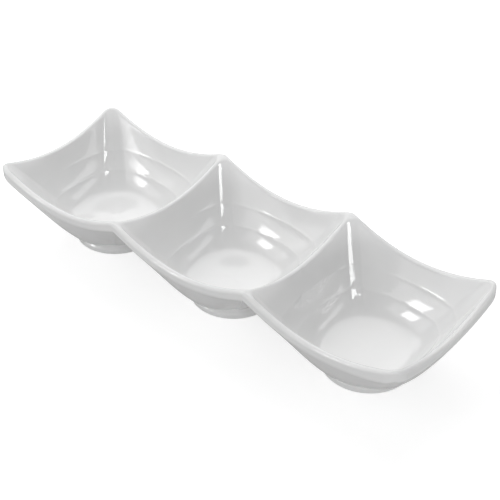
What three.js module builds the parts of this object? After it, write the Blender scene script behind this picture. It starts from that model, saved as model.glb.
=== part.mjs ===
// A divided sauce dish in glazed white porcelain: three square wells in a row under one wavy rim.
// The row runs along X, Y goes across it and Z is up. The origin is on the table, under the middle well.
// Each well is a bowl on a round foot ring, and a saddle-shaped crest joins each pair of bowls.
import * as THREE from "three";
import { mergeVertices } from "three/addons/utils/BufferGeometryUtils.js";

// Sizes in plan, in millimetres
const WELL_NAMES = ["left", "middle", "right"];
const CREST_NAMES = ["left", "right"];
const WELL_PITCH = 90; // from the centre of one well to the next
const DISH_WIDTH = 90; // across the row, over the rims
const END_REACH = 46.5; // from the centre of an end well to the end of the dish
const FLOOR_RADIUS = 24; // round flat floor of a well
const LIP_CORNER_RADIUS = 5; // corner of a well's opening
const CREST_SHOULDER = 2; // from the upper end of an inside wall to the cut beside a crest

// Heights, in millimetres
const FOOT_HEIGHT = 4.9; // from the table to the underside of a bowl
const FOOT_FACE_HEIGHT = 2.6; // outer face of a foot ring, from the table to its sloping ledge
const FLOOR_THICKNESS = 4.5;
const RIM_CORNER_HEIGHT = 49.3; // peaks of the rim, above the table, before their edges are rounded
const RIM_SIDE_HEIGHT = 38.2; // lowest point of the rim along a long side
const RIM_END_HEIGHT = 38.9; // lowest point of the rim across an end
const CREST_MIDDLE_HEIGHT = 39; // lowest point of a crest
const BAND_SIDE_HEIGHT = 4.6; // upright band under the rim, in the middle of a side
const BAND_CORNER_HEIGHT = 6.3; // the same band at a corner of the dish
const BAND_CREST_HEIGHT = 5; // the same band where a crest meets it

// Walls, rounded edges and the foot ring, in millimetres
const EDGE_ROUND = 1.8; // radius of the rim and of a crest
const FLOOR_FILLET = 4.5; // softness of the bend between floor and wall
const WAIST_INSET = 2; // from the edge of the floor in to the waist above the foot ring
const LEDGE_WIDTH = 1.8; // from the waist out to the edge of the foot ring's ledge
const FOOT_SPLAY = 0.2; // how far the foot ring's outer face leans out towards the table
const FOOT_WIDTH = 4.2; // standing face of a foot ring with its rounded edges
const FOOT_EDGE = 0.5; // bevel beside the standing face
const RIPPLE_DEPTHS = [0.49, 0.29, 0.05]; // hollows below, between and above the ripple lines
const RIPPLE_RISES = [10, 19.1]; // ripple lines on the inside wall, above the floor
const RIPPLE_FADE = 10.9; // height over which the hollow above the last line runs out

// Forms without a length
const WALL_LEAN = THREE.MathUtils.degToRad(35); // inside wall at the rim, from upright
const WALL_BEND = 0.216; // how hollow the inside wall runs in the middle of a side, where 0 is straight
const CORNER_BEND = 0.296; // the same in a corner
const OUTER_SIDE_BEND = 0.6; // how full the outer wall runs below a free side, where 0 is straight
const OUTER_CORNER_BEND = 0.33; // the same below a corner of the dish
const OUTER_CREST_BEND = 0.05; // the same below a crest and its ends
const PEAK_ROUND = 0.06; // share of a half side over which a peak is rounded
const SIDE_TURN = 0.3; // share of a half side over which one side's height gives way to the next's
const CREST_CROWDING = 1.5; // how much closer the crest's lines lie near its ridge

// Counts of the faceted surface
const CROSS_STEPS = 16; // along a cut or a crest
const SIDE_STEPS = 12; // along a free side
const CORNER_STEPS = 5; // round a corner of the dish
const CREST_STEPS = 4; // from the ridge of a crest to its cut
const FOOT_STEPS = 48; // round a foot ring
const UPPER_WALL_SHARES = [0.3, 0.65]; // rings between the last ripple line and the rim
const OUTER_WALL_SHARES = [1, 0.72, 0.45, 0.22, 0.08, 0]; // rings from the rim band down to the waist
const RING_GAP = 0.4; // least step between two rings where a cut crowds them, in millimetres

const HALF_WIDTH = DISH_WIDTH / 2;
const HALF_LENGTH = ((WELL_NAMES.length - 1) / 2) * WELL_PITCH + END_REACH;
const FLOOR_HEIGHT = FOOT_HEIGHT + FLOOR_THICKNESS;
const WAIST_RADIUS = FLOOR_RADIUS - WAIST_INSET;
const CREST_INSET = EDGE_ROUND * Math.cos(WALL_LEAN); // from a ridge to the end of the inside wall
const EDGE_INSET = CREST_INSET + EDGE_ROUND; // from a free side to the end of the inside wall
const EDGE_RISE = EDGE_ROUND * (1 - Math.sin(WALL_LEAN)); // from the end of the wall to the rim
const RIM_CORNER_RADIUS = LIP_CORNER_RADIUS + EDGE_INSET;
const CREST_REACH = CREST_INSET + CREST_SHOULDER; // from a ridge to the cut beside it
const RIPPLE_LINES = RIPPLE_RISES.map((rise) => FLOOR_HEIGHT + rise);

// A well's place, and the reach of its cell from the centre to each side.
function cellOf(index) {
  const isFirst = index === 0;
  const isLast = index === WELL_NAMES.length - 1;
  const half = WELL_PITCH / 2;
  return {
    centre: (index - (WELL_NAMES.length - 1) / 2) * WELL_PITCH,
    west: side(isFirst ? END_REACH : half, !isFirst),
    east: side(isLast ? END_REACH : half, !isLast),
  };
}

// One side of a cell: where its rim is, where its inside wall ends and where its bowl is cut.
function side(rim, isShared) {
  return {
    rim,
    lip: rim - (isShared ? CREST_INSET : EDGE_INSET),
    cut: isShared ? rim - CREST_REACH : rim,
    isShared,
    height: isShared ? CREST_MIDDLE_HEIGHT : RIM_END_HEIGHT,
    cornerBand: isShared ? BAND_CREST_HEIGHT : BAND_CORNER_HEIGHT,
    cornerRadius: isShared ? 0 : RIM_CORNER_RADIUS,
    sideBend: isShared ? OUTER_CREST_BEND : OUTER_SIDE_BEND,
    cornerBend: isShared ? OUTER_CREST_BEND : OUTER_CORNER_BEND,
  };
}

const sideAt = (cell, u) => (u < 0 ? cell.west : cell.east);

// How near a direction is to a diagonal, from 0 on a side to 1 at a corner.
function cornerShare(u, v) {
  return ((2 * u * v) / (u * u + v * v || 1)) ** 2;
}

// Where the ray from a well's centre through (u, v) leaves a rectangle with rounded corners.
function reachOf(halfU, halfV, radius, u, v) {
  const length = Math.hypot(u, v) || 1;
  const du = Math.abs(u) / length;
  const dv = Math.abs(v) / length;
  const straight = Math.min(du > 0 ? halfU / du : Infinity, dv > 0 ? halfV / dv : Infinity);
  const cornerU = halfU - radius;
  const cornerV = halfV - radius;
  if (straight * du <= cornerU || straight * dv <= cornerV) return straight;
  const along = du * cornerU + dv * cornerV;
  return along + Math.sqrt(along ** 2 - cornerU ** 2 - cornerV ** 2 + radius ** 2);
}

// Distance outside a rectangle with rounded corners, below zero inside it.
function distanceOutside(halfU, halfV, radius, u, v) {
  const du = Math.abs(u) - halfU + radius;
  const dv = Math.abs(v) - halfV + radius;
  return Math.hypot(Math.max(du, 0), Math.max(dv, 0)) + Math.min(Math.max(du, dv), 0) - radius;
}

// Height of the rim surface: low in the middle of each side and rising to a rounded peak at each corner.
function rimHeight(cell, u, v) {
  const edge = sideAt(cell, u);
  const a = Math.abs(u) / edge.rim;
  const b = Math.abs(v) / HALF_WIDTH;
  const turn = THREE.MathUtils.smoothstep(a - b, -SIDE_TURN, SIDE_TURN);
  const low = THREE.MathUtils.lerp(RIM_SIDE_HEIGHT, edge.height, turn);
  const nearer = (a + b - Math.hypot(a - b, PEAK_ROUND)) / 2;
  return low + (RIM_CORNER_HEIGHT - low) * (nearer / (1 - PEAK_ROUND / 2)) ** 2;
}

// A ramp that is zero well below the bend, and rises one to one well above it.
const softRamp = (x) => (x + Math.hypot(x, FLOOR_FILLET)) / 2;
const softRampInverse = (y) => y - FLOOR_FILLET ** 2 / (4 * y);

// The inside wall along one ray from a well's centre.
function wallAlong(cell, u, v) {
  const lipReach = reachOf(sideAt(cell, u).lip, HALF_WIDTH - EDGE_INSET, LIP_CORNER_RADIUS, u, v);
  const scale = lipReach / (Math.hypot(u, v) || 1);
  return {
    lipReach,
    rise: rimHeight(cell, u * scale, v * scale) - EDGE_RISE - FLOOR_HEIGHT,
    ramp: softRamp(lipReach - FLOOR_RADIUS),
    bend: 1 + THREE.MathUtils.lerp(WALL_BEND, CORNER_BEND, cornerShare(u, v)),
  };
}

// Reach at which an inside wall comes to a height, before its ripples.
function reachAtHeight(wall, height) {
  const share = (height - FLOOR_HEIGHT) / wall.rise;
  return FLOOR_RADIUS + softRampInverse(wall.ramp * share ** (1 / wall.bend));
}

// Hollow of the wall between ripple lines.
function ripple(height) {
  const lines = [FLOOR_HEIGHT, ...RIPPLE_LINES, RIPPLE_LINES.at(-1) + RIPPLE_FADE];
  for (let i = 1; i < lines.length; i++) {
    if (height < lines[i]) {
      const t = Math.max((height - lines[i - 1]) / (lines[i] - lines[i - 1]), 0);
      return RIPPLE_DEPTHS[i - 1] * 4 * t * (1 - t);
    }
  }
  return 0;
}

// Height of the upper surface: floor, inside wall, then the rounded rim or crest.
function topHeight(cell, u, v) {
  const wall = wallAlong(cell, u, v);
  const reach = Math.hypot(u, v);
  if (reach <= wall.lipReach) {
    const share = softRamp(reach - FLOOR_RADIUS) / wall.ramp;
    const height = FLOOR_HEIGHT + wall.rise * share ** wall.bend;
    return height - ripple(height);
  }
  const lip = sideAt(cell, u).lip;
  const past = distanceOutside(lip, HALF_WIDTH - EDGE_INSET, LIP_CORNER_RADIUS, u, v);
  const inner = Math.min(Math.max(past, 0) - CREST_INSET, 0);
  const x = cell.centre + u;
  const inset = -distanceOutside(HALF_LENGTH, HALF_WIDTH, RIM_CORNER_RADIUS, x, v);
  const outer = Math.min(Math.max(inset, 0) - EDGE_ROUND, 0);
  const fall = (offset) => EDGE_ROUND - Math.sqrt(Math.max(EDGE_ROUND ** 2 - offset ** 2, 0));
  return rimHeight(cell, u, v) - fall(inner) - fall(outer);
}

// Height of the outer wall under the rim band, from the waist up to the edge of the cell.
function underHeight(cell, u, v) {
  const edge = sideAt(cell, u);
  const edgeReach = reachOf(edge.rim, HALF_WIDTH, edge.cornerRadius, u, v);
  const scale = edgeReach / Math.hypot(u, v);
  const atCorner = cornerShare(u, v) ** 2;
  const band = THREE.MathUtils.lerp(BAND_SIDE_HEIGHT, edge.cornerBand, atCorner);
  const sideBend = THREE.MathUtils.lerp(OUTER_SIDE_BEND, edge.sideBend, (u * u) / (u * u + v * v));
  const bend = THREE.MathUtils.lerp(sideBend, edge.cornerBend, atCorner);
  const rise = rimHeight(cell, u * scale, v * scale) - band - FOOT_HEIGHT;
  const share = Math.max((Math.hypot(u, v) - WAIST_RADIUS) / (edgeReach - WAIST_RADIUS), 0);
  return FOOT_HEIGHT + rise * share ** (1 + bend);
}

// Points between the two ends of a straight side, closer together near the ends.
function pointsBetween(from, to, steps) {
  const points = [];
  for (let i = 1; i < steps; i++) {
    points.push(from.clone().lerp(to, (1 - Math.cos((Math.PI * i) / steps)) / 2));
  }
  return points;
}

// Points of one corner of a bowl's outline: a quarter circle at a corner of the dish, or the one point of
// a square corner where the bowl is cut.
function cornerPoints(edge, toU, toV, startAngle) {
  const radius = edge.isShared ? 0 : RIM_CORNER_RADIUS;
  const centre = new THREE.Vector2(toU * (edge.cut - radius), toV * (HALF_WIDTH - radius));
  if (edge.isShared) return [centre];
  const points = [];
  for (let i = 0; i <= CORNER_STEPS; i++) {
    const angle = startAngle + (Math.PI / 2) * (i / CORNER_STEPS);
    points.push(new THREE.Vector2(Math.cos(angle), Math.sin(angle)).multiplyScalar(radius).add(centre));
  }
  return points;
}

// Plan outline of a bowl, counter-clockwise about the well's centre, from its south-east corner on.
function bowlOutline(cell) {
  const corners = [
    cornerPoints(cell.east, 1, -1, -Math.PI / 2),
    cornerPoints(cell.east, 1, 1, 0),
    cornerPoints(cell.west, -1, 1, Math.PI / 2),
    cornerPoints(cell.west, -1, -1, Math.PI),
  ];
  const steps = [
    cell.east.isShared ? CROSS_STEPS : SIDE_STEPS,
    SIDE_STEPS,
    cell.west.isShared ? CROSS_STEPS : SIDE_STEPS,
    SIDE_STEPS,
  ];
  return corners.flatMap((corner, i) => {
    const next = corners[(i + 1) % corners.length];
    return [...corner, ...pointsBetween(corner.at(-1), next[0], steps[i])];
  });
}

// A closed body from rings of points that run from the middle of its top, over its edge, to the middle
// of its underside. All rings have as many points, counter-clockwise seen from above.
function closedRings(topMiddle, rings, underMiddle) {
  const count = rings[0].length;
  const positions = [topMiddle, ...rings.flat(), underMiddle].flatMap((p) => p.toArray());
  const last = positions.length / 3 - 1;
  const at = (ring, k) => 1 + ring * count + (k % count);
  const triangles = [];
  for (let k = 0; k < count; k++) {
    triangles.push(0, at(0, k), at(0, k + 1));
    for (let ring = 1; ring < rings.length; ring++) {
      triangles.push(at(ring - 1, k), at(ring, k), at(ring, k + 1));
      triangles.push(at(ring - 1, k), at(ring, k + 1), at(ring - 1, k + 1));
    }
    triangles.push(at(rings.length - 1, k), last, at(rings.length - 1, k + 1));
  }
  return new THREE.BufferGeometry()
    .setAttribute("position", new THREE.Float32BufferAttribute(positions, 3))
    .setIndex(triangles);
}

// Reaches of the rings on the upper surface along one ray, ending at the outline of the bowl.
function topReaches(cell, point) {
  const wall = wallAlong(cell, point.x, point.y);
  const end = point.length();
  const lineReach = RIPPLE_LINES.map((height) => reachAtHeight(wall, height));
  const [low, high] = [lineReach[0], lineReach.at(-1)];
  const foot = FLOOR_RADIUS + FLOOR_FILLET;
  const past = end - wall.lipReach;
  const reaches = [
    FLOOR_RADIUS - FLOOR_FILLET * 2,
    FLOOR_RADIUS - FLOOR_FILLET / 2,
    foot,
    (foot + low) / 2,
    low,
    ...lineReach.slice(1).flatMap((reach, i) => [(lineReach[i] + reach) / 2, reach]),
    ...UPPER_WALL_SHARES.map((share) => THREE.MathUtils.lerp(high, wall.lipReach, share)),
    wall.lipReach,
    wall.lipReach + (past * CREST_INSET) / EDGE_INSET,
    end - (past * EDGE_ROUND * (1 - Math.SQRT1_2)) / EDGE_INSET,
    end,
  ];
  return reaches.map((reach, i) => Math.min(reach, end - (reaches.length - 1 - i) * RING_GAP));
}

// One well: floor, inside walls, rim and outer wall down to the flat underside.
function bowlGeometry(cell) {
  const outline = bowlOutline(cell);
  const reaches = outline.map((point) => topReaches(cell, point));
  const place = (point, reach, height) => {
    const p = point.clone().setLength(reach);
    return new THREE.Vector3(cell.centre + p.x, p.y, height(p.x, p.y));
  };
  const rings = reaches[0].map((_, ring) =>
    outline.map((point, k) => place(point, reaches[k][ring], (u, v) => topHeight(cell, u, v))),
  );
  for (const share of OUTER_WALL_SHARES) {
    rings.push(
      outline.map((point) => {
        const reach = THREE.MathUtils.lerp(WAIST_RADIUS, point.length(), share);
        return place(point, reach, (u, v) => underHeight(cell, u, v));
      }),
    );
  }
  const middle = (z) => new THREE.Vector3(cell.centre, 0, z);
  return closedRings(middle(FLOOR_HEIGHT), rings, middle(FOOT_HEIGHT));
}

// The crest between a well and the next one: a bar with upright flat sides, cut across both walls.
function crestGeometry(cell, nextCell) {
  const ridge = cell.east.rim;
  const offsets = [];
  for (let i = -CREST_STEPS; i <= CREST_STEPS; i++) {
    offsets.push(CREST_REACH * Math.sign(i) * (Math.abs(i) / CREST_STEPS) ** CREST_CROWDING);
  }
  const front = new THREE.Vector2(0, -HALF_WIDTH);
  const back = new THREE.Vector2(0, HALF_WIDTH);
  const stations = [front, ...pointsBetween(front, back, CROSS_STEPS), back].map((point) => point.y);
  const height = (surface, offset, v) =>
    offset <= 0 ? surface(cell, ridge + offset, v) : surface(nextCell, offset - nextCell.west.rim, v);
  const x = (offset) => cell.centre + ridge + offset;
  const grid = (surface) =>
    stations.map((v) => offsets.map((offset) => new THREE.Vector3(x(offset), v, height(surface, offset, v))));
  return closedSlab(grid(topHeight), grid(underHeight));
}

// A closed body between two grids of points, one above the other.
function closedSlab(top, under) {
  const rows = top.length;
  const columns = top[0].length;
  const positions = [...top.flat(), ...under.flat()].flatMap((p) => p.toArray());
  const at = (row, column) => row * columns + column;
  const below = (index) => index + rows * columns;
  const triangles = [];
  for (let row = 1; row < rows; row++) {
    for (let column = 1; column < columns; column++) {
      const a = at(row - 1, column - 1);
      const b = at(row - 1, column);
      const c = at(row, column);
      const d = at(row, column - 1);
      triangles.push(a, b, c, a, c, d);
      triangles.push(below(a), below(c), below(b), below(a), below(d), below(c));
    }
  }
  const edge = [];
  for (let column = 0; column < columns - 1; column++) edge.push(at(0, column));
  for (let row = 0; row < rows - 1; row++) edge.push(at(row, columns - 1));
  for (let column = columns - 1; column > 0; column--) edge.push(at(rows - 1, column));
  for (let row = rows - 1; row > 0; row--) edge.push(at(row, 0));
  edge.forEach((from, i) => {
    const to = edge[(i + 1) % edge.length];
    triangles.push(from, below(from), below(to), from, below(to), to);
  });
  return new THREE.BufferGeometry()
    .setAttribute("position", new THREE.Float32BufferAttribute(positions, 3))
    .setIndex(triangles);
}

// Outer radius of a foot ring's face at a height, leaning in from the table to the edge of its ledge.
function footRadius(height) {
  return WAIST_RADIUS + LEDGE_WIDTH + FOOT_SPLAY * (1 - height / FOOT_FACE_HEIGHT);
}

// A foot ring: a turned ring with a flat standing face, a sloping ledge outside and a flat top that
// carries the bowl.
function footGeometry() {
  const inner = footRadius(0) - FOOT_WIDTH;
  const profile = [
    new THREE.Vector2(inner + FOOT_EDGE, 0),
    new THREE.Vector2(footRadius(0) - FOOT_EDGE, 0),
    new THREE.Vector2(footRadius(FOOT_EDGE), FOOT_EDGE),
    new THREE.Vector2(footRadius(FOOT_FACE_HEIGHT), FOOT_FACE_HEIGHT),
    new THREE.Vector2(WAIST_RADIUS, FOOT_HEIGHT),
    new THREE.Vector2(inner, FOOT_HEIGHT),
    new THREE.Vector2(inner, FOOT_EDGE),
    new THREE.Vector2(inner + FOOT_EDGE, 0),
  ];
  return new THREE.LatheGeometry(profile, FOOT_STEPS).rotateX(Math.PI / 2);
}

// Porcelain under a clear glaze, and the foot ring, which is rubbed bare where it stands.
const glaze = () => new THREE.MeshStandardMaterial({ color: 0xf2f2f0, roughness: 0.1, metalness: 0 });
const bareFoot = () => new THREE.MeshStandardMaterial({ color: 0xeeeeea, roughness: 0.35, metalness: 0 });

function addPiece(group, name, geometry, material) {
  geometry.deleteAttribute("normal");
  geometry.deleteAttribute("uv");
  const merged = mergeVertices(geometry);
  merged.computeVertexNormals();
  const mesh = new THREE.Mesh(merged, material);
  mesh.name = name;
  group.add(mesh);
  return mesh;
}

const dish = new THREE.Group();
dish.name = "divided_sauce_dish";
const cells = WELL_NAMES.map((_, index) => cellOf(index));
WELL_NAMES.forEach((name, index) => {
  addPiece(dish, `bowl_${name}`, bowlGeometry(cells[index]), glaze());
  const foot = addPiece(dish, `foot_ring_${name}`, footGeometry(), bareFoot());
  foot.position.x = cells[index].centre;
});
CREST_NAMES.forEach((name, index) => {
  addPiece(dish, `divider_crest_${name}`, crestGeometry(cells[index], cells[index + 1]), glaze());
});

export default dish;
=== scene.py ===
# A divided sauce dish in glazed white porcelain: its fine surfaces, glaze, studio light and camera.
import math

import bpy
import numpy as np
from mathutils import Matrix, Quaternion, Vector


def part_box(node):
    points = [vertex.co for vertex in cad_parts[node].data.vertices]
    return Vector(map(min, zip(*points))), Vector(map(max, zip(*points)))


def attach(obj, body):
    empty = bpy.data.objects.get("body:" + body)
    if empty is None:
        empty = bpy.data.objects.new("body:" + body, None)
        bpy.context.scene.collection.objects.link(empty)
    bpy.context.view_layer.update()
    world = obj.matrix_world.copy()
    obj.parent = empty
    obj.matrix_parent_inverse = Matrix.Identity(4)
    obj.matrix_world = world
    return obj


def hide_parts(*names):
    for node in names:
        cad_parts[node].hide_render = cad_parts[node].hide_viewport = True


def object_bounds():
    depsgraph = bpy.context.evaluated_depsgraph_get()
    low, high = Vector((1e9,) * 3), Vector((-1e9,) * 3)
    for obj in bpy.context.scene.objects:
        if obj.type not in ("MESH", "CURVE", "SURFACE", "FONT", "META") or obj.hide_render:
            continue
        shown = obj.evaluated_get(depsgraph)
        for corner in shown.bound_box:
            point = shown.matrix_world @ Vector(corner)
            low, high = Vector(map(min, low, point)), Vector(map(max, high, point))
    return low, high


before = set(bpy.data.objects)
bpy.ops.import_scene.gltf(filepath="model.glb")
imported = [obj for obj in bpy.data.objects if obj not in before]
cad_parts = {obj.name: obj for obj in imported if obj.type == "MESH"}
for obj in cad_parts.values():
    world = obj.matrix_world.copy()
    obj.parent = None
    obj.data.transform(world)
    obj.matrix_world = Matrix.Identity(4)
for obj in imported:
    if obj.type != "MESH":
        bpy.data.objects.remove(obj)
CAD_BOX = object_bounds()

# Wells by their place in the row, and crests by the place of the well on their left
WELLS = {"left": -1, "middle": 0, "right": 1}
CRESTS = {"left": -1, "right": 0}

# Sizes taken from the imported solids, in millimetres
MM = 0.001


def box_mm(node):
    """Lowest and highest corner of a node."""
    low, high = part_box(node)
    return np.array(low) / MM, np.array(high) / MM


FOOT_LOW, FOOT_HIGH = box_mm("foot_ring_right")
CREST_LOW, CREST_HIGH = box_mm("divider_crest_right")
WELL_PITCH = float(FOOT_LOW[0] + FOOT_HIGH[0]) / 2
HALF_CELL = WELL_PITCH / 2
HALF_LENGTH = CAD_BOX[1][0] / MM
HALF_WIDTH = CAD_BOX[1][1] / MM
END_REACH = HALF_LENGTH - WELL_PITCH
FOOT_HEIGHT = float(FOOT_HIGH[2])
CREST_REACH = float(CREST_HIGH[0] - CREST_LOW[0]) / 2

# Sizes that the surfaces share with the solids, in millimetres
FLOOR_RADIUS = 24.0
FLOOR_THICKNESS = 4.5
FLOOR_FILLET = 4.5
WAIST_INSET = 2.0
LEDGE_WIDTH = 1.8
LEDGE_HEIGHT = 2.6
LIP_CORNER_RADIUS = 5.0
RIM_CORNER_HEIGHT = 49.3
RIM_SIDE_HEIGHT = 38.2
RIM_END_HEIGHT = 38.9
CREST_MIDDLE_HEIGHT = 39.0
BAND_SIDE_HEIGHT = 4.6
BAND_CORNER_HEIGHT = 6.3
BAND_CREST_HEIGHT = 5.0
EDGE_ROUND = 1.8
FOOT_SPLAY = 0.2
FOOT_WIDTH = 4.2
RIPPLE_RISES = (0.0, 10.0, 19.1, 30.0)
RIPPLE_DEPTHS = (0.49, 0.29, 0.05)

# Forms without a length that they share too
WALL_LEAN = math.radians(35)
WALL_BEND = 0.216
CORNER_BEND = 0.296
OUTER_SIDE_BEND = 0.6
OUTER_CORNER_BEND = 0.33
OUTER_CREST_BEND = 0.05
PEAK_ROUND = 0.06
SIDE_TURN = 0.3

# Sizes that only the fine surfaces have, in millimetres
CORNER_GROWTH = 5.0
END_CORNER_GROWTH = 13.0
RIB_HEIGHT = 0.1
RIB_WIDTH = 0.72
BAND_EDGE_ROUND = 0.8
LEDGE_ROUND = 0.4
FOOT_EDGE_ROUND = 0.7
FOOT_FILLET_WIDTH = 0.4
FOOT_FILLET_HEIGHT = 1.2
RING_GAP = 0.02
SHARP_CORNER = 0.01

# How early the corners at the free ends grow rounder below the lip, where 1 is evenly
END_CORNER_ONSET = 0.6

# Rounds of the search for a point's place on a wall whose corners change with height
CORNER_ROUNDS = 12

# Step for slopes in millimetres, and a number that keeps a divisor off zero
SLOPE_STEP = 0.004
TINY = 1e-9

# Rings of a bowl, those on its floor as radii in millimetres, and points along its outline
FLOOR_RINGS = (4.0, 9.0, 14.0, 18.0)
WALL_STEPS = 80
LIP_STEPS = 12
RIM_STEPS = 10
BAND_STEPS = 8
OUTER_WALL_STEPS = 40
UNDERSIDE_SHARE = 0.99
SIDE_STEPS = 97
ARC_STEPS = 20

# Points along a cut: between its rounded ends, round each end, and beside it in units of its radius
CUT_POINTS = 97
CUT_END_STEPS = 8
CUT_END_INSETS = (1.0, 1.4)

# Points across a crest, from its rounded ridge out to the cut
CREST_WALL_STEPS = 6

# Points round a foot ring and along its profile
FOOT_POINTS = 160
FOOT_ARC_STEPS = 6
FOOT_FACE_STEPS = 3
LEDGE_BEND_STEPS = 8
LEDGE_SHARES = (0.2, 0.6, 1.0)

# Sizes that follow from the others
FLOOR_HEIGHT = FOOT_HEIGHT + FLOOR_THICKNESS
WAIST_RADIUS = FLOOR_RADIUS - WAIST_INSET
LEDGE_RADIUS = WAIST_RADIUS + LEDGE_WIDTH
RIPPLE_LINES = tuple(FLOOR_HEIGHT + rise for rise in RIPPLE_RISES)
CREST_INSET = EDGE_ROUND * math.cos(WALL_LEAN)
EDGE_INSET = CREST_INSET + EDGE_ROUND
EDGE_RISE = EDGE_ROUND * (1 - math.sin(WALL_LEAN))
RIM_CORNER_RADIUS = LIP_CORNER_RADIUS + EDGE_INSET


# The dish as heights over its plan

def cell_at(x):
    """For points along the row: place in their well, and their side's rim, lip, low height, band, corner."""
    index = np.clip(np.rint(x / WELL_PITCH), -1, 1)
    u = x - index * WELL_PITCH
    is_end = index * u > 0
    rim = np.where(is_end, END_REACH, HALF_CELL)
    lip = rim - np.where(is_end, EDGE_INSET, CREST_INSET)
    low = np.where(is_end, RIM_END_HEIGHT, CREST_MIDDLE_HEIGHT)
    band = np.where(is_end, BAND_CORNER_HEIGHT, BAND_CREST_HEIGHT)
    corner = np.where(is_end, RIM_CORNER_RADIUS, SHARP_CORNER)
    return u, rim, lip, low, band, corner


def reach_of(half_u, half_v, radius, u, v):
    """Where the ray from a well's centre through (u, v) leaves a rectangle with rounded corners."""
    length = np.hypot(u, v) + TINY
    du = np.abs(u) / length + TINY
    dv = np.abs(v) / length + TINY
    straight = np.minimum(half_u / du, half_v / dv)
    corner_u = half_u - radius
    corner_v = half_v - radius
    along = du * corner_u + dv * corner_v
    root = along**2 - corner_u**2 - corner_v**2 + radius**2
    arc = along + np.sqrt(np.maximum(root, 0))
    return np.where((straight * du <= corner_u) | (straight * dv <= corner_v), straight, arc)


def distance_outside(half_u, half_v, radius, u, v):
    """Distance outside a rectangle with rounded corners, below zero inside it."""
    du = np.abs(u) - half_u + radius
    dv = np.abs(v) - half_v + radius
    beyond = np.hypot(np.maximum(du, 0), np.maximum(dv, 0))
    return beyond + np.minimum(np.maximum(du, dv), 0) - radius


def corner_share(u, v):
    """How near a direction is to a diagonal, from 0 on a side to 1 at a corner."""
    return (2 * u * v / (u * u + v * v + TINY)) ** 2


def rim_height(rim, low, u, v):
    """Height of the rim surface: low in the middle of each side, with a rounded peak at each corner."""
    a = np.abs(u) / rim
    b = np.abs(v) / HALF_WIDTH
    turn = np.clip((a - b + SIDE_TURN) / (2 * SIDE_TURN), 0, 1)
    base = RIM_SIDE_HEIGHT + (low - RIM_SIDE_HEIGHT) * turn * turn * (3 - 2 * turn)
    nearer = (a + b - np.hypot(a - b, PEAK_ROUND)) / 2
    return base + (RIM_CORNER_HEIGHT - base) * (nearer / (1 - PEAK_ROUND / 2)) ** 2


def soft_ramp(x):
    """Nearly 0 well below zero and nearly x well above it, with a soft bend between."""
    return (x + np.hypot(x, FLOOR_FILLET)) / 2


def quarter_fall(offset, radius):
    """Drop of a rounded edge at a distance from its crown."""
    return radius - np.sqrt(np.maximum(radius**2 - np.minimum(offset, 0) ** 2, 0))


def ripple(height):
    """Hollow of the inside wall between its ripple lines, less the fine rib on each line."""
    hollow = np.zeros_like(height)
    for low, high, depth in zip(RIPPLE_LINES, RIPPLE_LINES[1:], RIPPLE_DEPTHS):
        t = np.clip((height - low) / (high - low), 0, 1)
        hollow += depth * 4 * t * (1 - t)
    for line in RIPPLE_LINES[1:-1]:
        hollow -= RIB_HEIGHT * np.exp(-((height - line) / RIB_WIDTH) ** 2)
    return hollow


def edge_inset(x, y):
    """Distance in from the outline of the dish."""
    return np.maximum(-distance_outside(HALF_LENGTH, HALF_WIDTH, RIM_CORNER_RADIUS, x, y), 0)


def wall_share(lip_u, lip_v, u, v, reach, is_end):
    """Place on the inside wall, from 0 near the floor to 1 at the lip; its corners are rounder low down."""
    climb = soft_ramp(reach - FLOOR_RADIUS)
    share = np.ones_like(reach)
    for _ in range(CORNER_ROUNDS):
        below = 1 - np.clip(share, 0, 1)
        growth = np.where(is_end, END_CORNER_GROWTH * below**END_CORNER_ONSET, CORNER_GROWTH * below)
        radius = LIP_CORNER_RADIUS + growth
        share = climb / soft_ramp(reach_of(lip_u, lip_v, radius, u, v) - FLOOR_RADIUS)
    return share


def top_height(x, y):
    """Upper surface: floor, inside wall with its ripples, then the rounded rim or crest."""
    u, rim, lip, low, _, corner = cell_at(x)
    lip_v = HALF_WIDTH - EDGE_INSET
    reach = np.hypot(u, y) + TINY
    lip_reach = reach_of(lip, lip_v, LIP_CORNER_RADIUS, u, y)
    scale = lip_reach / reach
    rise = rim_height(rim, low, u * scale, y * scale) - EDGE_RISE - FLOOR_HEIGHT
    share = wall_share(lip, lip_v, u, y, reach, corner > SHARP_CORNER)
    bend = WALL_BEND + (CORNER_BEND - WALL_BEND) * corner_share(u, y)
    wall = FLOOR_HEIGHT + rise * np.minimum(share, 1) ** (1 + bend)
    wall = wall - ripple(wall)
    past = np.maximum(distance_outside(lip, lip_v, LIP_CORNER_RADIUS, u, y), 0)
    crown = rim_height(rim, low, u, y)
    crown = crown - quarter_fall(past - CREST_INSET, EDGE_ROUND)
    crown = crown - quarter_fall(edge_inset(x, y) - EDGE_ROUND, EDGE_ROUND)
    return np.where(reach <= lip_reach, wall, crown)


def outer_bend(u, v, is_crest):
    """How full the outer wall runs: most below a free side, least below a crest and its ends."""
    side = np.where(is_crest, OUTER_CREST_BEND, OUTER_SIDE_BEND)
    corner = np.where(is_crest, OUTER_CREST_BEND, OUTER_CORNER_BEND)
    bend = OUTER_SIDE_BEND + (side - OUTER_SIDE_BEND) * u * u / (u * u + v * v + TINY)
    return bend + (corner - bend) * corner_share(u, v) ** 2


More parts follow.
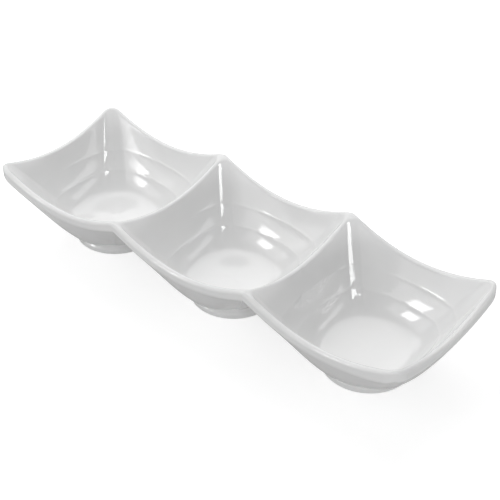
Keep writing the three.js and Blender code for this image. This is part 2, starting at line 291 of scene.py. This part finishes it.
def under_height(x, y):
    """Outer wall, from the waist up to the rounded lower edge of the rim band."""
    u, rim, _, low, corner_band, corner = cell_at(x)
    reach = np.hypot(u, y) + TINY
    edge_reach = reach_of(rim, HALF_WIDTH, corner, u, y)
    scale = edge_reach / reach
    band = BAND_SIDE_HEIGHT + (corner_band - BAND_SIDE_HEIGHT) * corner_share(u, y) ** 2
    rise = rim_height(rim, low, u * scale, y * scale) - band - FOOT_HEIGHT
    share = np.maximum((reach - WAIST_RADIUS) / (edge_reach - WAIST_RADIUS), 0)
    wall = FOOT_HEIGHT + rise * share ** (1 + outer_bend(u, y, corner < RIM_CORNER_RADIUS))
    return wall + quarter_fall(edge_inset(x, y) - BAND_EDGE_ROUND, BAND_EDGE_ROUND)


def field_normal(field, x, y, sign):
    """Unit normal of a height field, up where sign is 1 and down where it is -1."""
    slope_x = (field(x + SLOPE_STEP, y) - field(x - SLOPE_STEP, y)) / (2 * SLOPE_STEP)
    slope_y = (field(x, y + SLOPE_STEP) - field(x, y - SLOPE_STEP)) / (2 * SLOPE_STEP)
    normal = np.stack([-slope_x, -slope_y, np.ones_like(x)], -1) * sign
    return normal / np.linalg.norm(normal, axis=-1, keepdims=True)


def outline_normal(x, y):
    """Level normal of the upright rim band, and zero at points of a cut that lie away from it."""
    corner_x = HALF_LENGTH - RIM_CORNER_RADIUS
    corner_y = HALF_WIDTH - RIM_CORNER_RADIUS
    over_x = np.sign(x) * np.maximum(np.abs(x) - corner_x, 0)
    over_y = np.sign(y) * np.maximum(np.abs(y) - corner_y, 0)
    normal = np.stack([over_x, over_y, np.zeros_like(x)], -1)
    return normal / np.maximum(np.linalg.norm(normal, axis=-1, keepdims=True), TINY)


# Outlines and rings of points

def quarter_steps(count):
    """Insets of a rounded edge, in units of its radius, from the crown to the upright side."""
    return 1 - np.sin(np.linspace(0, math.pi / 2, count + 1))[1:]


def cross_stations():
    """Places across the row where the cuts beside a crest have their points."""
    middle = HALF_WIDTH - EDGE_INSET
    edge = HALF_WIDTH - EDGE_ROUND * np.concatenate([quarter_steps(CUT_END_STEPS), CUT_END_INSETS])
    inner = np.linspace(-middle, middle, CUT_POINTS)
    return np.sort(np.concatenate([-edge, inner, edge]))


def arc_points(centre_u, centre_v, start):
    """A quarter circle of the outline, at a corner of the dish."""
    angle = start + np.linspace(0, math.pi / 2, ARC_STEPS + 1)
    return centre_u + RIM_CORNER_RADIUS * np.cos(angle), centre_v + RIM_CORNER_RADIUS * np.sin(angle)


def bowl_outline(index):
    """Plan outline of a bowl about its centre, counter-clockwise, and which points lie on a cut."""
    cut = HALF_CELL - CREST_REACH
    corner_u = END_REACH - RIM_CORNER_RADIUS
    corner_v = HALF_WIDTH - RIM_CORNER_RADIUS
    stations = cross_stations()
    us, vs, cuts = [], [], []

    def add(u, v, is_cut):
        u, v = np.broadcast_arrays(np.asarray(u, float), np.asarray(v, float))
        us.append(u)
        vs.append(v)
        cuts.append(np.full(u.shape, is_cut))

    side = np.linspace(-1, 1, SIDE_STEPS + 1)[1:-1]
    east = corner_u if index == 1 else cut
    west = corner_u if index == -1 else cut
    along = (east - west) / 2 + (east + west) / 2 * side
    if index == 1:
        add(*arc_points(corner_u, -corner_v, -math.pi / 2), False)
        add(END_REACH, corner_v * side, False)
        add(*arc_points(corner_u, corner_v, 0), False)
    else:
        add(cut, stations, True)
    add(along[::-1], HALF_WIDTH, False)
    if index == -1:
        add(*arc_points(-corner_u, corner_v, math.pi / 2), False)
        add(-END_REACH, -corner_v * side, False)
        add(*arc_points(-corner_u, -corner_v, math.pi), False)
    else:
        add(-cut, stations[::-1], True)
    add(along, -HALF_WIDTH, False)
    return np.concatenate(us), np.concatenate(vs), np.concatenate(cuts)


def inset_reach(u, v, rim, corner, inset):
    """Reach of a well's outline, drawn in by an inset."""
    return reach_of(rim - inset, HALF_WIDTH - inset, np.maximum(corner - inset, SHARP_CORNER), u, v)


def crowd(reaches, end):
    """Keeps rings in order where a cut ends them early."""
    left = np.arange(len(reaches))[::-1, None] * RING_GAP
    return np.minimum(np.array(reaches), end - left)


def foot_radius(height):
    """Radius of the outer face of a foot ring."""
    return LEDGE_RADIUS + FOOT_SPLAY * (1 - height / LEDGE_HEIGHT)


def bend_points(start, corner, stop):
    """Points along a curve that leaves one point, turns at a corner and ends at another point."""
    shares = np.linspace(0, 1, LEDGE_BEND_STEPS + 1)
    return [(1 - t) ** 2 * start + 2 * t * (1 - t) * corner + t * t * stop for t in shares]


def ring_faces(rings, count):
    """Quads between neighbouring rings of points, each ring closed."""
    at = np.arange(count)
    nxt = np.roll(at, -1)
    faces = []
    for ring in range(rings - 1):
        a, b = ring * count, (ring + 1) * count
        faces.append(np.stack([a + at, b + at, b + nxt, a + nxt], -1))
    return np.concatenate(faces)


# Pieces

def make_piece(name, points, normals, faces, material):
    """A smooth object with its own normals, from points in millimetres."""
    mesh = bpy.data.meshes.new(name)
    mesh.from_pydata((points * MM).tolist(), [], faces)
    mesh.polygons.foreach_set("use_smooth", np.ones(len(mesh.polygons), bool))
    mesh.normals_split_custom_set_from_vertices(normals.tolist())
    mesh.materials.append(material)
    piece = bpy.data.objects.new(name, mesh)
    bpy.context.scene.collection.objects.link(piece)
    return piece


def bowl_piece(name, index, material):
    """A bowl: rings out over its upper surface, then in along its outer wall to a flat underside."""
    u, v, is_cut = bowl_outline(index)
    count = len(u)
    centre = index * WELL_PITCH
    end = np.hypot(u, v)
    du, dv = u / end, v / end
    _, rim, lip, _, _, corner = cell_at(centre + u)
    lip_reach = reach_of(lip, HALF_WIDTH - EDGE_INSET, LIP_CORNER_RADIUS, u, v)
    crown_reach = inset_reach(u, v, rim, corner, EDGE_ROUND)

    # Rings of the upper surface
    ones = np.ones(count)
    top = [r * ones for r in FLOOR_RINGS]
    wall_start = FLOOR_RINGS[-1]
    top += [wall_start + (lip_reach - wall_start) * s for s in np.linspace(0, 1, WALL_STEPS + 1)[1:]]
    lean = np.linspace(math.pi / 2 - WALL_LEAN, 0, LIP_STEPS + 1)[1:]
    top += [crown_reach + (lip_reach - crown_reach) * s for s in np.sin(lean) / math.cos(WALL_LEAN)]
    top += [inset_reach(u, v, rim, corner, EDGE_ROUND * s) for s in quarter_steps(RIM_STEPS)]
    top = crowd(top, end)

    # Rings of the outer wall, from the band down to the waist
    band = [inset_reach(u, v, rim, corner, BAND_EDGE_ROUND * s) for s in quarter_steps(BAND_STEPS)]
    wall_top = inset_reach(u, v, rim, corner, BAND_EDGE_ROUND)
    wall_end = WAIST_RADIUS + RING_GAP
    walls = [wall_end + (wall_top - wall_end) * s for s in np.linspace(0, 1, OUTER_WALL_STEPS + 1)]
    under = crowd(walls + band, end)[::-1]

    def lay(reaches, field, sign):
        x = centre + reaches * du
        y = reaches * dv
        return np.stack([x, y, field(x, y)], -1), field_normal(field, x, y, sign)

    top_points, top_normals = lay(top, top_height, 1)
    under_points, under_normals = lay(under, under_height, -1)
    level = outline_normal(centre + u, v)
    on_band = ~is_cut | (np.abs(v) > HALF_WIDTH - RING_GAP)
    top_normals[-1][on_band] = level[on_band]
    under_normals[0][on_band] = level[on_band]

    # The flat underside
    disc_reach = WAIST_RADIUS * UNDERSIDE_SHARE
    disc = np.stack([centre + disc_reach * du, disc_reach * dv, FOOT_HEIGHT * ones], -1)[None]
    disc_normals = np.zeros_like(disc) + [0, 0, -1]

    rings = np.concatenate([top_points, under_points, disc])
    normals = np.concatenate([top_normals, under_normals, disc_normals])
    points = np.concatenate([rings.reshape(-1, 3), [[centre, 0, FLOOR_HEIGHT], [centre, 0, FOOT_HEIGHT]]])
    normals = np.concatenate([normals.reshape(-1, 3), [[0, 0, 1], [0, 0, -1]]])
    quads = ring_faces(len(rings), count)
    at = np.arange(count)
    nxt = np.roll(at, -1)
    pole = len(rings) * count
    last_ring = (len(rings) - 1) * count
    fans = np.concatenate([
        np.stack([np.full(count, pole), at, nxt], -1),
        np.stack([last_ring + at, np.full(count, pole + 1), last_ring + nxt], -1),
    ])
    return make_piece(name, points, normals, quads.tolist() + fans.tolist(), material)


def crest_piece(name, index, material):
    """The crest to the right of a well: two sheets of points, joined along their edges."""
    ridge = index * WELL_PITCH + HALF_CELL
    lean = np.linspace(0, math.pi / 2 - WALL_LEAN, LIP_STEPS + 1)
    wall = np.linspace(CREST_INSET, CREST_REACH, CREST_WALL_STEPS + 1)[1:]
    half = np.concatenate([EDGE_ROUND * np.sin(lean), wall])
    offsets = np.concatenate([-half[:0:-1], half])
    x, y = np.meshgrid(ridge + offsets, cross_stations())
    rows, columns = x.shape
    points, normals = [], []
    for field, sign in ((top_height, 1), (under_height, -1)):
        normal = field_normal(field, x, y, sign)
        normal[0] = [0, -1, 0]
        normal[-1] = [0, 1, 0]
        points.append(np.stack([x, y, field(x, y)], -1).reshape(-1, 3))
        normals.append(normal.reshape(-1, 3))
    at = np.arange(rows * columns).reshape(rows, columns)
    below = rows * columns
    a, b, c, d = (s.ravel() for s in (at[:-1, :-1], at[:-1, 1:], at[1:, 1:], at[1:, :-1]))
    edge = np.concatenate([at[0, :-1], at[:-1, -1], at[-1, :0:-1], at[:0:-1, 0]])
    turn = np.roll(edge, -1)
    quads = np.concatenate([
        np.stack([a, b, c, d], -1),
        np.stack([a, d, c, b], -1) + below,
        np.stack([edge, edge + below, turn + below, turn], -1),
    ])
    return make_piece(name, np.concatenate(points), np.concatenate(normals), quads.tolist(), material)


def foot_profile():
    """Radius and height along a foot ring: down its inside, over the standing face and up to the waist."""
    outer = foot_radius(0)
    inner = outer - FOOT_WIDTH
    bend = FOOT_EDGE_ROUND
    quarter = np.linspace(0, math.pi / 2, FOOT_ARC_STEPS + 1)
    waist = np.array([WAIST_RADIUS, FOOT_HEIGHT])
    ledge = np.array([LEDGE_RADIUS, LEDGE_HEIGHT])
    ledge_start = ledge + (waist - ledge) * LEDGE_ROUND / np.linalg.norm(waist - ledge)
    face_stop = np.array([foot_radius(LEDGE_HEIGHT - LEDGE_ROUND), LEDGE_HEIGHT - LEDGE_ROUND])
    profile = []
    for t in quarter:
        radius = inner - FOOT_FILLET_WIDTH + FOOT_FILLET_WIDTH * math.sin(t)
        profile.append((radius, FOOT_HEIGHT - FOOT_FILLET_HEIGHT * (1 - math.cos(t))))
    profile += [(inner + bend * (1 - math.cos(t)), bend * (1 - math.sin(t))) for t in quarter]
    profile += [(outer - bend * (1 - math.sin(t)), bend * (1 - math.cos(t))) for t in quarter]
    profile += [(foot_radius(h), h) for h in np.linspace(bend, face_stop[1], FOOT_FACE_STEPS + 1)[1:-1]]
    profile += bend_points(face_stop, ledge, ledge_start)
    profile += [ledge_start + (waist - ledge_start) * s for s in LEDGE_SHARES]
    profile = np.array([tuple(point) for point in profile])
    profile[:, 1] = np.maximum(profile[:, 1], 0)
    return profile


def foot_piece(name, index, material):
    """A turned foot ring: a flat standing face with rounded edges, and a sloping ledge up to the waist."""
    profile = foot_profile()
    angle = np.linspace(0, 2 * math.pi, FOOT_POINTS, endpoint=False)
    centre = index * WELL_PITCH
    rings = np.stack([
        centre + profile[:, :1] * np.cos(angle),
        profile[:, :1] * np.sin(angle),
        np.repeat(profile[:, 1:], FOOT_POINTS, 1),
    ], -1)
    tangent = np.gradient(profile, axis=0)
    radial = tangent[:, 1]
    rising = -tangent[:, 0]
    size = np.hypot(radial, rising)
    radial, rising = radial / size, rising / size
    normals = np.stack([
        radial[:, None] * np.cos(angle),
        radial[:, None] * np.sin(angle),
        np.repeat(rising[:, None], FOOT_POINTS, 1),
    ], -1)
    at = np.arange(FOOT_POINTS)
    nxt = np.roll(at, -1)
    last = (len(profile) - 1) * FOOT_POINTS
    lid = np.stack([at + last, at, nxt, nxt + last], -1)
    quads = np.concatenate([ring_faces(len(profile), FOOT_POINTS), lid])[:, ::-1]
    return make_piece(name, rings.reshape(-1, 3), normals.reshape(-1, 3), quads.tolist(), material)


# Materials: tones as place on a ramp and colour, roughness from low to high, heights in metres
GLAZE_IOR = 1.52
GLAZE_TONES = ((0.3, (0.865, 0.868, 0.868, 1)), (0.7, (0.885, 0.885, 0.882, 1)))
GLAZE_ROUGHNESS = (0.05, 0.09)
TONE_SCALE = 38
TONE_DETAIL = 4
WAVE_SCALE = 90
WAVE_DETAIL = 1
WAVE_STRENGTH = 0.25
WAVE_HEIGHT = 0.0002
BARE_TONES = ((0.0, (0.68, 0.67, 0.65, 1)), (1.0, (0.8, 0.79, 0.77, 1)))
BARE_ROUGHNESS = 0.75
GRAIN_SCALE = 900
GRAIN_DETAIL = 6
FOOT_GLAZE_TONE = (0.875, 0.876, 0.875, 1)
FOOT_GLAZE_ROUGHNESS = 0.07
FOOT_GLAZE_START = 0.0002
FOOT_GLAZE_FULL = 0.0005


def node_tree(name):
    """A new material with its nodes and links."""
    material = bpy.data.materials.new(name)
    material.use_nodes = True
    return material, material.node_tree.nodes, material.node_tree.links


def noise_node(nodes, links, place, scale, detail):
    """Noise over the object's own coordinates."""
    noise = nodes.new("ShaderNodeTexNoise")
    noise.inputs["Scale"].default_value = scale
    noise.inputs["Detail"].default_value = detail
    links.new(place.outputs["Object"], noise.inputs["Vector"])
    return noise


def ramp_node(nodes, links, value, tones):
    """Colour of a value between two tones."""
    ramp = nodes.new("ShaderNodeValToRGB")
    for element, (position, color) in zip(ramp.color_ramp.elements, tones):
        element.position = position
        element.color = color
    links.new(value, ramp.inputs["Fac"])
    return ramp


def glaze_material():
    """White porcelain under a clear glaze, with faint changes of tone, gloss and level."""
    material, nodes, links = node_tree("white_glaze")
    shader = nodes["Principled BSDF"]
    place = nodes.new("ShaderNodeTexCoord")
    tone = noise_node(nodes, links, place, TONE_SCALE, TONE_DETAIL)
    shade = ramp_node(nodes, links, tone.outputs["Fac"], GLAZE_TONES)
    links.new(shade.outputs["Color"], shader.inputs["Base Color"])
    gloss = nodes.new("ShaderNodeMapRange")
    gloss.inputs["To Min"].default_value = GLAZE_ROUGHNESS[0]
    gloss.inputs["To Max"].default_value = GLAZE_ROUGHNESS[1]
    links.new(tone.outputs["Fac"], gloss.inputs["Value"])
    links.new(gloss.outputs["Result"], shader.inputs["Roughness"])
    wave = noise_node(nodes, links, place, WAVE_SCALE, WAVE_DETAIL)
    bump = nodes.new("ShaderNodeBump")
    bump.inputs["Strength"].default_value = WAVE_STRENGTH
    bump.inputs["Distance"].default_value = WAVE_HEIGHT
    links.new(wave.outputs["Fac"], bump.inputs["Height"])
    links.new(bump.outputs["Normal"], shader.inputs["Normal"])
    shader.inputs["IOR"].default_value = GLAZE_IOR
    return material


def foot_material():
    """The glaze again, wiped off where the ring stands, so that the bare body shows there."""
    material, nodes, links = node_tree("bare_foot")
    shader = nodes["Principled BSDF"]
    place = nodes.new("ShaderNodeTexCoord")
    grain = noise_node(nodes, links, place, GRAIN_SCALE, GRAIN_DETAIL)
    axes = nodes.new("ShaderNodeSeparateXYZ")
    links.new(place.outputs["Object"], axes.inputs["Vector"])
    glazed = nodes.new("ShaderNodeMapRange")
    glazed.inputs["From Min"].default_value = FOOT_GLAZE_START
    glazed.inputs["From Max"].default_value = FOOT_GLAZE_FULL
    links.new(axes.outputs["Z"], glazed.inputs["Value"])
    bare = ramp_node(nodes, links, grain.outputs["Fac"], BARE_TONES)
    mix = nodes.new("ShaderNodeMix")
    mix.data_type = "RGBA"
    links.new(glazed.outputs["Result"], mix.inputs["Factor"])
    links.new(bare.outputs["Color"], mix.inputs["A"])
    mix.inputs["B"].default_value = FOOT_GLAZE_TONE
    links.new(mix.outputs["Result"], shader.inputs["Base Color"])
    rough = nodes.new("ShaderNodeMapRange")
    rough.inputs["To Min"].default_value = BARE_ROUGHNESS
    rough.inputs["To Max"].default_value = FOOT_GLAZE_ROUGHNESS
    links.new(glazed.outputs["Result"], rough.inputs["Value"])
    links.new(rough.outputs["Result"], shader.inputs["Roughness"])
    shader.inputs["IOR"].default_value = GLAZE_IOR
    return material


# The dish
glaze = glaze_material()
bare_foot = foot_material()
for side, index in WELLS.items():
    for kind, make, material, slot in (
        ("bowl", bowl_piece, glaze, "glaze"),
        ("foot_ring", foot_piece, bare_foot, "foot"),
    ):
        node = f"{kind}_{side}"
        piece = make(f"{node}_surface", index, material)
        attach(piece, "root")
        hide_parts(node)
for side, index in CRESTS.items():
    node = f"divider_crest_{side}"
    piece = crest_piece(f"{node}_surface", index, glaze)
    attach(piece, "root")
    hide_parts(node)

# Camera: image and focal length in pixels, sensor in millimetres, places in metres
IMAGE_SIZE = 500
FOCAL_PIXELS = 1244.2
SENSOR_WIDTH = 36.0
CLIP_END = 20
CAMERA_PLACE = Vector((0.3552, -0.3996, 0.424))
CAMERA_TARGET = Vector((0.0, 0.0137, 0.0204))
CAMERA_ROLL = math.radians(-0.452)

lens = bpy.data.cameras.new("camera")
lens.sensor_width = SENSOR_WIDTH
lens.lens = FOCAL_PIXELS * SENSOR_WIDTH / IMAGE_SIZE
lens.clip_end = CLIP_END
camera = bpy.data.objects.new("camera", lens)
bpy.context.scene.collection.objects.link(camera)
camera.location = CAMERA_PLACE
aim = (CAMERA_TARGET - CAMERA_PLACE).to_track_quat("-Z", "Y")
camera.rotation_mode = "QUATERNION"
camera.rotation_quaternion = aim @ Quaternion((0, 0, 1), CAMERA_ROLL)
bpy.context.scene.camera = camera

# Lamps: name, azimuth and elevation in degrees, distance, width and height in metres, radiance, use, grid
LIGHTS = (
    ("main_softbox", -138, 50, 1.0, 1.13, 0.88, 1.7),
    ("front_fill", -40, 32, 1.1, 0.96, 0.7, 1.35),
    ("end_fill", 58, 0, 1.2, 1.0, 0.16, 11.0, "light"),
    ("window_card", -33.8, 29.2, 1.0, 0.23, 0.27, 14.0, "mirror", True),
    ("side_card", 71.2, 37.4, 2.0, 0.9, 0.7, 10.0, "mirror"),
    ("rib_card", 129, 33, 2.0, 1.2, 0.42, 1.9, "mirror"),
)
LIGHT_TARGET = Vector((0.0, 0.0, 0.0234))
GRID_TARGET = Vector((0.05, 0.0, 0.0234))
GRID_REACH = math.radians(18)


def softbox(name, azimuth, elevation, distance, width, height, radiance, use="both", has_grid=False):
    """A flat lamp that faces the dish and lights it, is mirrored in it, or both.

    Azimuth 0 is in front of the dish and 90 at its right end. A grid narrows the lamp to one place.
    """
    lamp = bpy.data.lights.new(name, "AREA")
    lamp.shape = "RECTANGLE"
    lamp.size = width
    lamp.size_y = height
    lamp.energy = radiance * math.pi * width * height
    box = bpy.data.objects.new(name, lamp)
    bpy.context.scene.collection.objects.link(box)
    a, e = math.radians(azimuth), math.radians(elevation)
    away = Vector((math.sin(a) * math.cos(e), -math.cos(a) * math.cos(e), math.sin(e)))
    box.location = LIGHT_TARGET + away * distance
    target = LIGHT_TARGET
    if has_grid:
        target = GRID_TARGET
        lamp.spread = 2 * GRID_REACH
        # A narrowed lamp gets brighter along its axis, and this factor takes that back
        lamp.energy *= 1 - GRID_REACH / math.tan(GRID_REACH)
    box.rotation_euler = (target - box.location).to_track_quat("-Z", "Y").to_euler()
    box.visible_diffuse = use != "mirror"
    box.visible_glossy = use != "light"


for light in LIGHTS:
    softbox(*light)

# Floor and background
WHITE = (1, 1, 1, 1)
WORLD_LIGHT = 0.4
WORLD_SEEN = 1.0
FLOOR_SIZE = 3.0
FLOOR_ALBEDO = 0.47
FLOOR_ROUGHNESS = 0.9
FLOOR_GLOW = 0.72
FLOOR_MIRRORED = 0.3

# The world is white to the camera and in the glaze, and weaker as a light
world = bpy.data.worlds.new("studio")
world.use_nodes = True
bpy.context.scene.world = world
sky_nodes, sky_links = world.node_tree.nodes, world.node_tree.links
sky = sky_nodes["Background"]
path = sky_nodes.new("ShaderNodeLightPath")
is_seen = sky_nodes.new("ShaderNodeMath")
is_seen.operation = "MAXIMUM"
sky_links.new(path.outputs["Is Camera Ray"], is_seen.inputs[0])
sky_links.new(path.outputs["Is Glossy Ray"], is_seen.inputs[1])
strength = sky_nodes.new("ShaderNodeMapRange")
strength.inputs["To Min"].default_value = WORLD_LIGHT
strength.inputs["To Max"].default_value = WORLD_SEEN
sky_links.new(is_seen.outputs["Value"], strength.inputs["Value"])
sky_links.new(strength.outputs["Result"], sky.inputs["Strength"])
sky.inputs["Color"].default_value = WHITE

# The floor's glow whitens it for the camera, and a share of that glow shows in the glaze
floor_mesh = bpy.data.meshes.new("floor")
half = FLOOR_SIZE / 2
floor_mesh.from_pydata(
    [(-half, -half, 0), (half, -half, 0), (half, half, 0), (-half, half, 0)], [], [(0, 1, 2, 3)])
floor = bpy.data.objects.new("floor", floor_mesh)
bpy.context.scene.collection.objects.link(floor)
floor_paint, floor_nodes, floor_links = node_tree("floor_paint")
paint = floor_nodes["Principled BSDF"]
paint.inputs["Base Color"].default_value = (FLOOR_ALBEDO, FLOOR_ALBEDO, FLOOR_ALBEDO, 1)
paint.inputs["Roughness"].default_value = FLOOR_ROUGHNESS
seen = floor_nodes.new("ShaderNodeLightPath")
mirrored_part = floor_nodes.new("ShaderNodeMath")
mirrored_part.operation = "MULTIPLY"
mirrored_part.inputs[1].default_value = FLOOR_MIRRORED
floor_links.new(seen.outputs["Is Glossy Ray"], mirrored_part.inputs[0])
direct = floor_nodes.new("ShaderNodeMath")
direct.operation = "MAXIMUM"
floor_links.new(seen.outputs["Is Camera Ray"], direct.inputs[0])
floor_links.new(mirrored_part.outputs["Value"], direct.inputs[1])
glow = floor_nodes.new("ShaderNodeMath")
glow.operation = "MULTIPLY"
glow.inputs[1].default_value = FLOOR_GLOW
floor_links.new(direct.outputs["Value"], glow.inputs[0])
paint.inputs["Emission Color"].default_value = WHITE
floor_links.new(glow.outputs["Value"], paint.inputs["Emission Strength"])
floor_mesh.materials.append(floor_paint)

bpy.context.scene.view_settings.view_transform = "Standard"
